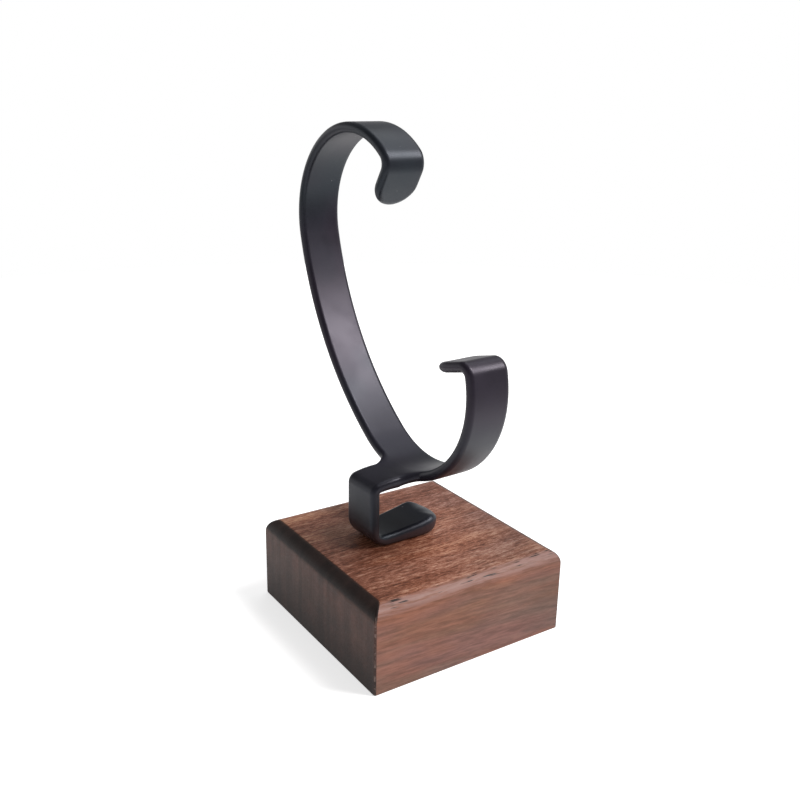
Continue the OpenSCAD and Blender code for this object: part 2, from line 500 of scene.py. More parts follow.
@dataclass(frozen=True)
class WalnutEnd:
    """The dark end grain, where the year rings are cut across, with painted shade that darkens it towards its
    foot.
    """

    tint: Colour = (0.36, 0.34, 0.37)
    pith: Triple = (0.0, 140.0, 10.0)
    ring_rate: float = 0.34
    ring_detail: float = 3.0
    ring_rough: float = 0.55
    ring_levels: Fade = Fade(0.30, 0.70, 0.76, 1.24)
    blots: Pattern = Pattern(0.16, 0.16, 4.0, 0.6)
    blot_levels: Fade = Fade(0.34, 0.66, 0.80, 1.20)
    # Painted shade: the end grain darkens towards its foot.
    painted_foot_shade: Fade = Fade(1.0, 13.0, 0.38, 1.06)

    def colour(self, graph: NodeGraph, place: Socket, bent: Socket, body: Socket) -> Socket:
        """Colours the end grain.

        Args:
            graph: The wood's graph.
            place: The coordinates in millimetres.
            bent: The coordinates along the grain.
            body: The wood's colour under the tint.

        Returns:
            The end grain's colour.
        """
        away = graph.stretch(graph.vector("SUBTRACT", bent, self.pith), (0.0, 1.0, 1.0))
        turns = graph.product(graph.vector_length(away), self.ring_rate)
        inputs = {"W": turns, "Scale": 1.0, "Detail": self.ring_detail, "Roughness": self.ring_rough}
        rings = graph.add("ShaderNodeTexNoise", inputs, noise_dimensions="1D").outputs["Fac"]
        # Ring and blot tone, with painted shade towards the foot.
        tone = graph.product(graph.fade(rings, self.ring_levels),
                             graph.fade(graph.noise(place, self.blots), self.blot_levels),
                             graph.fade(graph.split(place)["Z"], self.painted_foot_shade))
        return graph.tint(graph.tint(body, self.tint), graph.grey(tone))


@dataclass(frozen=True)
class Pores:
    """Open pores, which show as short dark dashes in groups, most of all on the round edge."""

    colour: Colour = (0.020, 0.010, 0.009)
    rates: Triple = (0.15, 2.6, 2.6)
    least_chance: float = 0.38
    groups: Pattern = Pattern(0.13, 0.13, 2.0, 0.5)
    group_levels: Fade = Fade(0.47, 0.56)
    width: Fade = Fade(0.52, 0.30)
    edge_facing: float = 0.82
    edge_spread: float = 0.14
    edge_weight: float = 0.85
    weight: Fade = Fade(0.5, 0.95, 0.05, 0.30)

    def share(self, graph: NodeGraph, place: Socket, bent: Socket, upright: Socket) -> Socket:
        """Finds the pores.

        Args:
            graph: The wood's graph.
            place: The coordinates in millimetres.
            bent: The coordinates along the grain.
            upright: How much the surface faces up.

        Returns:
            How much of the pores' colour shows.
        """
        chance, distance = graph.cells(graph.stretch(bent, self.rates), 1.0)
        rare = graph.product(graph.math("GREATER_THAN", chance, self.least_chance),
                             graph.fade(graph.noise(place, self.groups), self.group_levels))
        edge = graph.math("COMPARE", upright, self.edge_facing, self.edge_spread)
        weight = graph.math("MULTIPLY_ADD", edge, self.edge_weight, graph.fade(upright, self.weight))
        return graph.product(rare, graph.fade(distance, self.width), weight)


@dataclass(frozen=True)
class Walnut:
    """Oiled walnut with its grain along X: open pores on top, smooth sides and dark end grain."""

    top: WalnutTop = WalnutTop()
    side: WalnutSide = WalnutSide()
    end: WalnutEnd = WalnutEnd()
    pores: Pores = Pores()
    lean: Triple = (0.0, -0.055, 0.0)
    wander: Pattern = Pattern(0.022, 0.045, 2.0, 0.5)
    wander_reach: Triple = (0.0, 3.0, 3.0)
    fibres: Pattern = Pattern(0.12, 1.4, 5.0, 0.68)
    flecks: Pattern = Pattern(0.60, 2.5, 4.0, 0.80)
    top_facing: Fade = Fade(0.90, 0.995)
    # Painted sheen: a lighter, pinkish cast where the sides turn up into the round edge, standing in for the
    # window's reflection there.
    painted_sheen: Colour = (0.306, 0.185, 0.165)
    sheen_facing: Fade = Fade(0.10, 0.60)
    sheen_fibres: Fade = Fade(0.36, 0.60, 0.10, 0.75)
    end_facing: Fade = Fade(0.10, 0.30)
    end_dull: float = 0.65
    # Painted shade on the round brink over the left end grain, partly the end grain's own darker tone.
    painted_brink_shade: Colour = (0.20, 0.20, 0.20)
    brink_left: Fade = Fade(-0.07, -0.16)
    brink_up: Fade = Fade(0.10, 0.42)
    # Lighter upright corners: partly wear, partly a painted highlight where they catch the light.
    wear_and_highlight: Colour = (0.560, 0.400, 0.350)
    corner_facing: Fade = Fade(0.25, 0.45)
    wear_and_glints: Pattern = Pattern(0.6, 0.6, 4.0, 0.7)
    wear_and_glint_levels: Fade = Fade(0.46, 0.62, 0.0, 0.32)
    fibre_height: float = 0.4
    fleck_height: Fade = Fade(0.90, 0.995, 0.05, 0.8)
    relief: float = 0.42
    relief_depth: float = 0.12 * MM
    roughness: Fade = Fade(0.3, 0.7, 0.44, 0.58)
    specular: float = 0.28

    def bend_grain(self, graph: NodeGraph, place: Socket) -> Socket:
        """Lets the fibres lean and wander a little from the X axis.

        Args:
            graph: The wood's graph.
            place: The coordinates in millimetres.

        Returns:
            The coordinates along the grain.
        """
        centred = graph.vector("SUBTRACT", graph.noise(place, self.wander, "Color"), (0.5, 0.5, 0.5))
        turned = graph.add("ShaderNodeMapping", {"Vector": place, "Rotation": self.lean}).outputs[0]
        return graph.vector("ADD", turned, graph.vector("MULTIPLY", centred, self.wander_reach))

    def edge_wear_and_painted_light(self, graph: NodeGraph, place: Socket, facing: dict[str, Socket], colour: Socket) -> Socket:
        """Paints shade on the round brink over the left end grain, partly its own darker tone, and lightens
        the upright corners, partly as wear and partly as a painted highlight.

        Args:
            graph: The wood's graph.
            place: The coordinates in millimetres.
            facing: The parts of the way that the surface faces.
            colour: The wood's colour.

        Returns:
            The worn colour.
        """
        # Painted shade on the left brink.
        brink = graph.product(graph.fade(facing["X"], self.brink_left),
                              graph.fade(facing["Z"], self.brink_up))
        colour = graph.mix(brink, colour, graph.tint(colour, self.painted_brink_shade))
        # Upright corners lighter: partly wear, partly painted highlight.
        both = graph.product(graph.math("ABSOLUTE", facing["X"]), graph.math("ABSOLUTE", facing["Y"]))
        wear_and_glints = graph.fade(graph.noise(place, self.wear_and_glints), self.wear_and_glint_levels)
        return graph.mix(graph.product(graph.fade(both, self.corner_facing), wear_and_glints), colour, self.wear_and_highlight)

    def build(self) -> bpy.types.Material:
        """Builds the wood.

        Returns:
            The material.
        """
        graph = NodeGraph(Slot.WALNUT.value)
        place = graph.millimetres()
        bent = self.bend_grain(graph, place)
        fibres = graph.noise(bent, self.fibres)
        flecks = graph.noise(bent, self.flecks)
        facing = graph.facing()
        upright = facing["Z"]

        # Painted sheen on the up-facing round edge of the sides.
        painted_sheen = graph.product(graph.fade(upright, self.sheen_facing), graph.fade(fibres, self.sheen_fibres))
        side = graph.mix(painted_sheen, self.side.colour(graph, bent, fibres), self.painted_sheen)
        top = self.top.colour(graph, bent, fibres, flecks)
        colour = graph.mix(graph.fade(upright, self.top_facing), side, top)
        colour = graph.mix(self.pores.share(graph, place, bent, upright), colour, self.pores.colour)
        end = self.end.colour(graph, place, bent, graph.mix(self.end_dull, colour, self.side.grey))
        colour = graph.mix(graph.fade(graph.math("ABSOLUTE", facing["X"]), self.end_facing), colour, end)
        colour = self.edge_wear_and_painted_light(graph, place, facing, colour)

        relief = graph.math("MULTIPLY_ADD", fibres, self.fibre_height,
                            graph.product(flecks, graph.fade(upright, self.fleck_height)))
        return graph.surface({
            "Base Color": colour,
            "Roughness": graph.fade(flecks, self.roughness),
            "Normal": graph.bump(relief, self.relief, self.relief_depth),
            "Specular IOR Level": self.specular,
        })


@dataclass(frozen=True)
class BlackCoat:
    """Satin black coating: violet at mid height, mostly teal elsewhere, and a warm painted reflection of the
    wood low down.
    """

    violet: Colour = (0.0135, 0.0100, 0.0175)
    teal: Colour = (0.0080, 0.0108, 0.0150)
    violet_from: Fade = Fade(44.0, 62.0)
    violet_to: Fade = Fade(96.0, 82.0)
    violet_pull: float = -0.7
    drift: Pattern = Pattern(0.035, 0.035, 2.0, 0.5)
    drift_levels: Fade = Fade(0.38, 0.62, 0.4, 1.0)
    # Painted reflection: the coating turns warm low down, where it faces sideways or down, as if reflecting
    # the wood.
    warm: Colour = (0.044, 0.029, 0.032)
    wood_reflection_rise: Fade = Fade(27.0, 21.5)
    wood_reflection_facing: Fade = Fade(0.45, 0.05)
    clouds: Pattern = Pattern(0.12, 0.12, 3.0, 0.5)
    cloud_levels: Fade = Fade(0.3, 0.7, 0.85, 1.2)
    speck: Colour = (0.12, 0.115, 0.12)
    speck_rate: float = 0.9
    least_chance: float = 0.988
    speck_radius: float = 0.16
    texture: Pattern = Pattern(3.2, 3.2, 2.0, 0.5)
    relief: float = 0.10
    relief_depth: float = 0.03 * MM
    roughness: Fade = Fade(0.3, 0.7, 0.325, 0.405)
    specular: float = 0.38
    rosy_sheen: Colour = (0.92, 0.85, 1.0)
    blue_sheen: Colour = (0.78, 0.88, 1.0)

    def build(self) -> bpy.types.Material:
        """Builds the coating.

        Returns:
            The material.
        """
        graph = NodeGraph(Slot.COATING.value)
        place = graph.millimetres()
        rise = graph.split(place)["Z"]
        clouds = graph.noise(place, self.clouds)
        violet = graph.product(graph.fade(rise, self.violet_from), graph.fade(rise, self.violet_to))
        drift = graph.fade(graph.noise(place, self.drift), self.drift_levels)
        hue = graph.math("MULTIPLY_ADD", violet, self.violet_pull, drift, clamp=True)
        upright = graph.facing()["Z"]
        # Painted reflection of the wood on low parts that face sideways or down.
        wood_reflection_share = graph.product(graph.fade(rise, self.wood_reflection_rise), graph.fade(upright, self.wood_reflection_facing))
        base = graph.mix(wood_reflection_share, graph.mix(hue, self.violet, self.teal), self.warm)
        base = graph.tint(base, graph.grey(graph.fade(clouds, self.cloud_levels)))
        chance, distance = graph.cells(place, self.speck_rate)
        specks = graph.product(graph.math("GREATER_THAN", chance, self.least_chance),
                               graph.math("LESS_THAN", distance, self.speck_radius))
        return graph.surface({
            "Base Color": graph.mix(specks, base, self.speck),
            "Roughness": graph.fade(clouds, self.roughness),
            "Normal": graph.bump(graph.noise(place, self.texture), self.relief, self.relief_depth),
            "Specular IOR Level": self.specular,
            "Specular Tint": graph.mix(hue, self.rosy_sheen, self.blue_sheen),
        })


@dataclass(frozen=True)
class ScrewSteel:
    """Plain machined steel with fine turning marks."""

    dull: Colour = (0.34, 0.34, 0.36)
    bright: Colour = (0.42, 0.42, 0.44)
    marks: Pattern = Pattern(6.0, 6.0, 3.0, 0.6)
    relief: float = 0.15
    relief_depth: float = 0.02 * MM
    roughness: Fade = Fade(0.3, 0.7, 0.26, 0.44)

    def build(self) -> bpy.types.Material:
        """Builds the steel.

        Returns:
            The material.
        """
        graph = NodeGraph(Slot.STEEL.value)
        marks = graph.noise(graph.millimetres(), self.marks)
        stops = ((self.roughness.low, self.dull), (self.roughness.high, self.bright))
        return graph.surface({
            "Base Color": graph.ramp(marks, stops),
            "Metallic": 1.0,
            "Roughness": graph.fade(marks, self.roughness),
            "Normal": graph.bump(marks, self.relief, self.relief_depth),
        })


@dataclass
class PlateSection:
    """Rounded cross-section of a flat strip."""

    width: float
    thickness: float
    edge: float
    columns: int = 2
    hold: float = 0.12 * MM
    arc_steps: int = 6

    def outline(self, bm: bmesh.types.BMesh, across: Vector, upward: Vector, centre: Vector) -> EdgeLoop:
        """Adds the section's outline as one closed loop of edges.

        Args:
            bm: The mesh that gets the loop.
            across: Unit vector along the strip's width.
            upward: Unit vector along its thickness.
            centre: The middle of the section.

        Returns:
            The loop's edges.
        """
        old = set(bm.faces)
        cells = self.columns + 2
        made = bmesh.ops.create_grid(bm, x_segments=cells, y_segments=1, size=0.5)["verts"]
        half = self.width / 2
        flat = half - self.edge - self.hold
        stops = [-half, *(flat * (2 * i / self.columns - 1) for i in range(self.columns + 1)), half]
        for vert in made:
            column = round((vert.co.x + 0.5) * cells)
            vert.co = Vector((stops[column], math.copysign(self.thickness / 2, vert.co.y), 0.0))
        corners = [v for v in made if abs(abs(v.co.x) - half) < NEAR]
        bmesh.ops.bevel(bm, geom=corners, offset=self.edge, offset_type="OFFSET", segments=self.arc_steps,
                        profile=0.5, affect="VERTICES", material=-1, clamp_overlap=False)
        faces = [f for f in bm.faces if f not in old]
        edges = list(dict.fromkeys(e for f in faces for e in f.edges))
        loop = [e for e in edges if len(e.link_faces) == 1]
        inner = [e for e in edges if len(e.link_faces) == 2]
        bmesh.ops.delete(bm, geom=faces, context="FACES_ONLY")
        bmesh.ops.delete(bm, geom=inner, context="EDGES")
        turn = Matrix((across, upward, across.cross(upward))).transposed().to_4x4()
        bmesh.ops.transform(bm, matrix=Matrix.Translation(centre) @ turn, verts=loop_verts(loop))
        return loop


@dataclass
class Pen:
    """A loop of edges that is drawn along straights and left bends."""

    bm: bmesh.types.BMesh
    loop: EdgeLoop
    place: Vector
    heading: Vector
    across: Vector

    def side(self) -> Vector:
        """Returns the unit vector to the left of the heading."""
        return self.across.cross(self.heading)

    def spin(self, edges: EdgeLoop, centre: Vector, axis: Vector, angle: float, steps: int) -> EdgeLoop:
        """Spins some edges into a surface.

        Args:
            edges: The edges to spin.
            centre: A point on the axis.
            axis: The axis's direction.
            angle: The angle in radians.
            steps: The number of steps.

        Returns:
            The edges at the end of the spin.
        """
        made = bmesh.ops.spin(self.bm, geom=loop_verts(edges) + edges, cent=centre, axis=axis, dvec=(0, 0, 0),
                              angle=angle, steps=steps, use_merge=False, use_duplicate=False)
        return [g for g in made["geom_last"] if isinstance(g, bmesh.types.BMEdge)]

    def bend(self, radius: float, degrees: float, steps: int) -> None:
        """Bends the strip to the left.

        Args:
            radius: The radius of the strip's middle.
            degrees: The angle of the bend.
            steps: The number of steps.
        """
        centre = self.place + self.side() * radius
        self.loop = self.spin(self.loop, centre, self.across, math.radians(degrees), steps)
        turn = Matrix.Rotation(math.radians(degrees), 3, self.across)
        self.place = centre + turn @ (self.place - centre)
        self.heading = turn @ self.heading

    def thicken(self, ratio: float, thickness: float) -> None:
        """Scales the loop's thickness with its outer face held.

        Args:
            ratio: The new thickness over the old one.
            thickness: The old thickness.
        """
        outer = self.place - self.side() * thickness / 2
        grow = Matrix.Translation(outer) @ Matrix.Scale(ratio, 4, self.side()) @ Matrix.Translation(-outer)
        bmesh.ops.transform(self.bm, matrix=grow, verts=loop_verts(self.loop))
        self.place = grow @ self.place

    def go(self, length: float, cuts: int = 1) -> None:
        """Runs the strip straight on.

        Args:
            length: The length of the straight.
            cuts: The number of equal parts.
        """
        for _ in range(cuts):
            verts, self.loop = extrude_loop(self.bm, self.loop)
            bmesh.ops.translate(self.bm, verts=verts, vec=self.heading * length / cuts)
        self.place = self.place + self.heading * length

    def round_end(self, steps: int) -> None:
        """Closes the strip with a half circle, in a number of steps."""
        half = [e for e in self.loop if all((v.co - self.place).dot(self.across) > -NEAR for v in e.verts)]
        self.spin(half, self.place, self.side(), math.pi, steps)


@dataclass(frozen=True)
class Bend:
    """One bend of the strip, by the radius of its middle."""

    radius: float
    degrees: float
    steps: int


@dataclass
class RingBracket:
    """The bracket: a C-ring with two lips, and the tab, riser and foot that carry it."""

    seat: Vector = field(default_factory=lambda: SCREW + Z_AXIS * BLOCK_HEIGHT)
    turn: float = 2.5
    strip_width: float = 10.8 * MM
    strip_thickness: float = 2.4 * MM
    strip_edge: float = 1.15 * MM
    ring_lift: float = 13.8 * MM
    back_bends: tuple[Bend, ...] = (
        Bend(23.1 * MM, 36.5, 19),
        Bend(77.6 * MM, 39.65, 26),
        Bend(21.6 * MM, 72.65, 40),
        Bend(20.6 * MM, 71.0, 40),
        Bend(3.0 * MM, 81.2, 18),
    )
    front_bends: tuple[Bend, ...] = (
        Bend(22.9 * MM, 58.2, 30),
        Bend(22.5 * MM, 45.8, 24),
        Bend(2.2 * MM, 90.5, 16),
    )
    upper_lip: float = 8.8 * MM
    lower_lip: float = 10.0 * MM
    lip_cuts: int = 2
    lip_thin: float = 0.35
    lip_fade: Span = (0.1, 1.1)
    lip_reach: float = 1.2
    foot_width: float = 10.4 * MM
    foot_thickness: float = 3.6 * MM
    foot_edge: float = 1.1 * MM
    foot_tip: float = 4.3 * MM
    tab_thickness: float = 2.4 * MM
    root_thickness: float = 2.7 * MM
    tab_droop: Bend = Bend(28.0 * MM, 11.0, 8)
    riser_reach: float = 16.4 * MM
    tab_bend: float = 2.4 * MM
    foot_bend: float = 5.0 * MM
    bend_steps: int = 16
    riser_cuts: int = 3
    corner_steps: int = 24
    corner_power: float = 5.0
    foot_cuts: int = 6
    tip_flare: float = 0.11
    flare_reach: float = 2.0 * MM
    tip_power: float = 2.05
    tip_lift: float = 1.0 * MM
    lift_fade: Span = (-0.5, 0.8)
    lift_low: float = 0.4
    tip_drop: float = 1.8 * MM
    drop_power: float = 1.5
    tip_flat: float = 0.12
    tip_cut: float = 0.30
    cut_power: int = 2
    tip_fade: Span = (0.3, 1.1)
    tip_slack: float = 0.1 * MM
    root_sink: float = 0.9 * MM
    sink_fade: float = 3.5 * MM
    root_gap: float = 3.2 * MM
    root_steps: int = 8
    opening_rise: float = 7.2 * MM
    tip_steps: int = 24
    join_cuts: int = 6
    join_rounds: int = 24

    def ring(self, bm: bmesh.types.BMesh) -> None:
        """Draws the ring from its lowest point to both lips.

        Args:
            bm: The bracket's mesh, with the screw's axis at the origin.
        """
        start = Z_AXIS * (self.ring_lift + self.strip_thickness / 2)
        section = PlateSection(self.strip_width, self.strip_thickness, self.strip_edge)
        loop = section.outline(bm, X_AXIS, Z_AXIS, start)
        back = (1.0, self.back_bends, self.upper_lip)
        front = (-1.0, self.front_bends, self.lower_lip)
        for way, bends, lip in (back, front):
            pen = Pen(bm, loop, start.copy(), Y_AXIS * way, X_AXIS * way)
            for bend in bends:
                pen.bend(bend.radius, bend.degrees, bend.steps)
            pen.go(lip - self.strip_width / 2, self.lip_cuts)
            pen.round_end(self.tip_steps)
            self.thin_lip(bm, pen)

    def thin_lip(self, bm: bmesh.types.BMesh, pen: Pen) -> None:
        """Thins a lip towards its round end.

        Args:
            bm: The bracket's mesh.
            pen: The pen at the middle of the half circle.
        """
        radius = self.strip_width / 2
        for vert in bm.verts:
            out = vert.co - pen.place
            run = out.dot(pen.heading)
            if run < MERGE or out.length > self.lip_reach * radius:
                continue
            lift = out.dot(pen.side())
            vert.co = vert.co - pen.side() * lift * self.lip_thin * eased(run / radius, *self.lip_fade)

    def open_side(self, bm: bmesh.types.BMesh) -> EdgeLoop:
        """Opens the ring's side wall where the tab leaves it.

        Args:
            bm: The bracket's mesh, with only the ring in it.

        Returns:
            The edges round the opening.
        """
        wall = self.strip_width / 2 - self.strip_edge
        toe = self.front_bends[0]
        reach = math.sin(math.radians(self.root_steps * toe.degrees / toe.steps))
        reach *= toe.radius + self.strip_thickness
        top = self.ring_lift + self.opening_rise
        faces = []
        for face in bm.faces:
            middle = face.calc_center_median()
            if middle.x < -wall and abs(middle.y) < reach and middle.z < top:
                faces.append(face)
        bmesh.ops.delete(bm, geom=faces, context="FACES")
        return [e for e in bm.edges if e.is_boundary]

    def foot(self, bm: bmesh.types.BMesh) -> EdgeLoop:
        """Draws the tab, the riser and the foot.

        Args:
            bm: The bracket's mesh.

        Returns:
            The tab's open end, next to the ring.
        """
        tab_top = self.ring_lift + self.strip_thickness
        start = Vector((-self.strip_width / 2 - self.root_gap, 0.0, tab_top - self.root_thickness / 2))
        section = PlateSection(self.foot_width, self.root_thickness, self.foot_edge, 2 * self.root_steps)
        root = section.outline(bm, Y_AXIS, Z_AXIS, start)
        pen = Pen(bm, root, start.copy(), -X_AXIS, -Y_AXIS)
        droop = self.tab_droop
        tilt = math.sin(math.radians(droop.degrees))
        inner = self.tab_bend - self.tab_thickness / 2
        reach = self.riser_reach - self.tab_thickness / 2
        pen.go(reach + start.x - inner * (1 - tilt) - droop.radius * tilt)
        thickness = self.root_thickness
        for step in range(1, droop.steps + 1):
            pen.bend(droop.radius, droop.degrees / droop.steps, 1)
            share = eased(step / droop.steps, 0.0, 1.0)
            wanted = self.root_thickness + (self.tab_thickness - self.root_thickness) * share
            pen.thicken(wanted / thickness, thickness)
            thickness = wanted
        pen.bend(inner, 90.0 - droop.degrees, self.bend_steps)
        pen.go(pen.place.z - self.foot_bend, self.riser_cuts)
        for step in range(1, self.corner_steps + 1):
            pen.bend(self.foot_bend - thickness / 2, 90.0 / self.corner_steps, 1)
            wanted = self.corner_thickness(math.pi / 2 * step / self.corner_steps)
            pen.thicken(wanted / thickness, thickness)
            thickness = wanted
        pen.go(self.riser_reach - self.foot_bend - self.foot_width / 2 + self.foot_tip, self.foot_cuts)
        pen.round_end(self.tip_steps)
        self.ease_tip(bm, pen.place)
        self.flare_tip(bm, pen.place.x)
        self.sink_root(bm, pen.place.x)
        return root

    def sink_root(self, bm: bmesh.types.BMesh, middle: float) -> None:
        """Lowers the foot's top next to the riser.

        Args:
            bm: The bracket's mesh.
            middle: The X place of the round end's middle.
        """
        bend_end = self.foot_bend - self.riser_reach
        for vert in bm.verts:
            if vert.co.z > self.foot_thickness + self.sink_fade or vert.co.x > middle:
                continue
            aside = max(bend_end - vert.co.x, 0.0)
            below = max(self.foot_bend - vert.co.z, 0.0)
            depth = self.foot_bend - math.hypot(aside, below)
            inside = min(max(depth / self.tab_thickness, 0.0), 1.0)
            near = 1 - eased(vert.co.x, bend_end, middle)
            low = 1 - eased(vert.co.z, self.foot_thickness, self.foot_thickness + self.sink_fade)
            vert.co.z -= self.root_sink * inside * near * low

    def flare_tip(self, bm: bmesh.types.BMesh, middle: float) -> None:
        """Widens the foot towards its round end.

        Args:
            bm: The bracket's mesh.
            middle: The X place of the half circle's middle.
        """
        bend_end = self.foot_bend - self.riser_reach
        for vert in bm.verts:
            if vert.co.z < self.foot_thickness + self.flare_reach:
                vert.co.y *= 1 + self.tip_flare * eased(vert.co.x, bend_end, middle)

    def corner_thickness(self, angle: float) -> float:
        """Returns the wall between the foot's round outer bend and its tight inner corner.

        Args:
            angle: The angle round the bend, from the riser's side.

        Returns:
            The wall's thickness.
        """
        to_riser = math.cos(angle) / (self.foot_bend - self.tab_thickness)
        to_foot = math.sin(angle) / (self.foot_bend - self.foot_thickness)
        power = self.corner_power
        return self.foot_bend - (max(to_riser, 0.0) ** power + to_foot ** power) ** (-1 / power)

    def ease_tip(self, bm: bmesh.types.BMesh, centre: Vector) -> None:
        """Lifts the foot's round end, and slopes its rim down over a cut-in underside.

        The end grows from a half circle towards a superellipse, by the share that looks ahead.

        Args:
            bm: The bracket's mesh.
            centre: The middle of the half circle.
        """
        radius = self.foot_width / 2
        power = self.tip_power
        for vert in bm.verts:
            out = Vector((vert.co.x - centre.x, vert.co.y, 0.0))
            if vert.co.z > self.foot_thickness + self.tip_slack or out.x < -radius:
                continue
            height = vert.co.z / self.foot_thickness
            rise = self.lift_low + (1 - self.lift_low) * height
            vert.co.z += self.tip_lift * eased(out.x / radius, *self.lift_fade) * rise
            if out.x < MERGE:
                continue
            ahead = out.x / out.length
            aside = abs(out.y) / out.length
            share = eased(ahead, *self.tip_fade)
            grow = (ahead ** power + aside ** power) ** (-1 / power) - 1
            inward = self.tip_cut * share * (1 - height) ** self.cut_power
            rim = max(out.length / radius - self.tip_flat, 0.0) / (1 - self.tip_flat)
            drop = self.tip_drop * rim ** self.drop_power * share * height
            vert.co += out * (grow - inward) - Z_AXIS * drop

    def join(self, bm: bmesh.types.BMesh, opening: EdgeLoop, root: EdgeLoop) -> None:
        """Bridges the tab to the ring and eases the join.

        Args:
            bm: The bracket's mesh.
            opening: The edges round the opening in the ring's side.
            root: The tab's open end.
        """
        bridge = bmesh.ops.bridge_loops(bm, edges=opening + root)
        rungs = [e for e in bridge["edges"] if e not in opening and e not in root]
        made = bmesh.ops.subdivide_edges(bm, edges=rungs, cuts=self.join_cuts, use_grid_fill=True)
        inner = [g for g in made["geom_inner"] if isinstance(g, bmesh.types.BMVert)]
        rim = loop_verts(opening) + loop_verts(root)
        for _ in range(self.join_rounds):
            bmesh.ops.smooth_vert(bm, verts=inner + rim, factor=0.5, use_axis_x=True, use_axis_y=True,
                                  use_axis_z=True)

    def build(self, material: bpy.types.Material) -> bpy.types.Object:
        """Builds the bracket in its place on the block.

        Args:
            material: The coating.

        Returns:
            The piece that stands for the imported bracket.
        """
        bm = bmesh.new()
        self.ring(bm)
        bmesh.ops.remove_doubles(bm, verts=bm.verts, dist=MERGE)
        opening = self.open_side(bm)
        root = self.foot(bm)
        self.join(bm, opening, root)
        for face in bm.faces:
            face.smooth = True
        seat = Matrix.Translation(self.seat) @ Matrix.Rotation(math.radians(self.turn), 4, "Z")
        bmesh.ops.transform(bm, matrix=seat, verts=bm.verts)
        piece = new_piece(bm, "formed_bracket", material)
        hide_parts("ring_bracket")
        return piece


@dataclass
class WoodBlock:
    """The square block with rounded top edges and the screw's hole underneath."""

    side: float = 50.0 * MM
    height: float = BLOCK_HEIGHT
    top_round: float = 3.3 * MM
    upright_round: float = 0.5 * MM
    base_ease: float = 0.3 * MM
    screw: Vector = field(default_factory=SCREW.copy)
    bore_radius: float = 3.3 * MM
    bore_depth: float = 4.7 * MM
    hole_radius: float = 1.7 * MM
    hole_top: float = 19.9 * MM
    arc_steps: int = 14
    ease_steps: int = 4
    corner_steps: int = 5
    bore_steps: int = 48
    flat_normal: float = 0.9999

    def profile(self) -> list[tuple[float, float]]:
        """Works out the block's outline from the side.

        Returns:
            The inset and height of each level, from the underside to the top.
        """
        ease = [math.pi / 2 * i / self.ease_steps for i in range(self.ease_steps + 1)]
        arc = [math.pi / 2 * i / self.arc_steps for i in range(self.arc_steps + 1)]
        low = [(self.base_ease * (1 - math.sin(a)), self.base_ease * (1 - math.cos(a))) for a in ease]
        shoulder = self.height - self.top_round
        high = [(self.top_round * (1 - math.cos(a)), shoulder + self.top_round * math.sin(a)) for a in arc]
        return low + high

    def plan(self, bm: bmesh.types.BMesh) -> EdgeLoop:
        """Adds the block's plan, a square with small round corners, as a loop.

        Args:
            bm: The block's mesh.

        Returns:
            The loop's edges.
        """
        verts = bmesh.ops.create_grid(bm, x_segments=1, y_segments=1, size=self.side / 2)["verts"]
        bmesh.ops.bevel(bm, geom=verts, offset=self.upright_round, offset_type="OFFSET",
                        segments=self.corner_steps, profile=0.5, affect="VERTICES", material=-1,
                        clamp_overlap=False)
        bmesh.ops.delete(bm, geom=bm.faces[:], context="FACES_ONLY")
        return bm.edges[:]

    def raise_loop(self, bm: bmesh.types.BMesh, loop: EdgeLoop, centre: Vector, scale: float,
                   lift: float) -> EdgeLoop:
        """Extrudes a level loop, scaled about an upright axis.

        Args:
            bm: The block's mesh.
            loop: The loop to extrude.
            centre: A point on the axis.
            scale: The factor in plan.
            lift: The rise.

        Returns:
            The new loop.
        """
        verts, raised = extrude_loop(bm, loop)
        flat = Vector((centre.x, centre.y, 0.0))
        move = Matrix.Translation(flat + Z_AXIS * lift) @ Matrix.Diagonal((scale, scale, 1.0, 1.0))
        bmesh.ops.transform(bm, matrix=move @ Matrix.Translation(-flat), verts=verts)
        return raised

    def build(self, material: bpy.types.Material) -> bpy.types.Object:
        """Builds the block.

        Args:
            material: The walnut.

        Returns:
            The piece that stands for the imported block.
        """
        bm = bmesh.new()
        loop = self.plan(bm)
        levels = self.profile()
        first = levels[0]
        scale = 1 - 2 * first[0] / self.side
        bmesh.ops.scale(bm, vec=(scale, scale, 1.0), verts=loop_verts(loop))
        under = loop
        last = first
        for inset, height in levels[1:]:
            scale = (self.side - 2 * inset) / (self.side - 2 * last[0])
            loop = self.raise_loop(bm, loop, Vector(), scale, height - last[1])
            last = (inset, height)
        bmesh.ops.edgeloop_fill(bm, edges=loop)
        circle = bmesh.ops.create_circle(bm, segments=self.bore_steps, radius=self.bore_radius,
                                         matrix=Matrix.Translation(self.screw))["verts"]
        bore = list(dict.fromkeys(e for v in circle for e in v.link_edges))
        bmesh.ops.bridge_loops(bm, edges=under + bore)
        loop = self.raise_loop(bm, bore, self.screw, 1.0, self.bore_depth)
        loop = self.raise_loop(bm, loop, self.screw, self.hole_radius / self.bore_radius, 0.0)
        loop = self.raise_loop(bm, loop, self.screw, 1.0, self.hole_top - self.bore_depth)
        bmesh.ops.edgeloop_fill(bm, edges=loop)
        bm.normal_update()
        for face in bm.faces:
            face.smooth = max(abs(c) for c in face.normal) <= self.flat_normal
        piece = new_piece(bm, "walnut_block", material)
        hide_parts("wood_base")
        return piece


@dataclass(frozen=True)
class Lamp:
    """One rectangular area lamp, by the way to it from the stand."""

    name: str
    direction: Triple
    distance: float
    size: tuple[float, float]
    power: float
    colour: Colour

    def hang(self, target: Vector) -> None:
        """Adds the lamp.

        Args:
            target: The place that it looks at.
        """
        light = bpy.data.lights.new(self.name, "AREA")
        light.energy = self.power
        light.shape = "RECTANGLE"
        light.size, light.size_y = self.size
        light.color = self.colour
        away = Vector(self.direction)
        lamp = bpy.data.objects.new(self.name, light)
        lamp.location = target + away.normalized() * self.distance
        lamp.rotation_euler = away.to_track_quat("Z", "Y").to_euler()
        bpy.context.collection.objects.link(lamp)


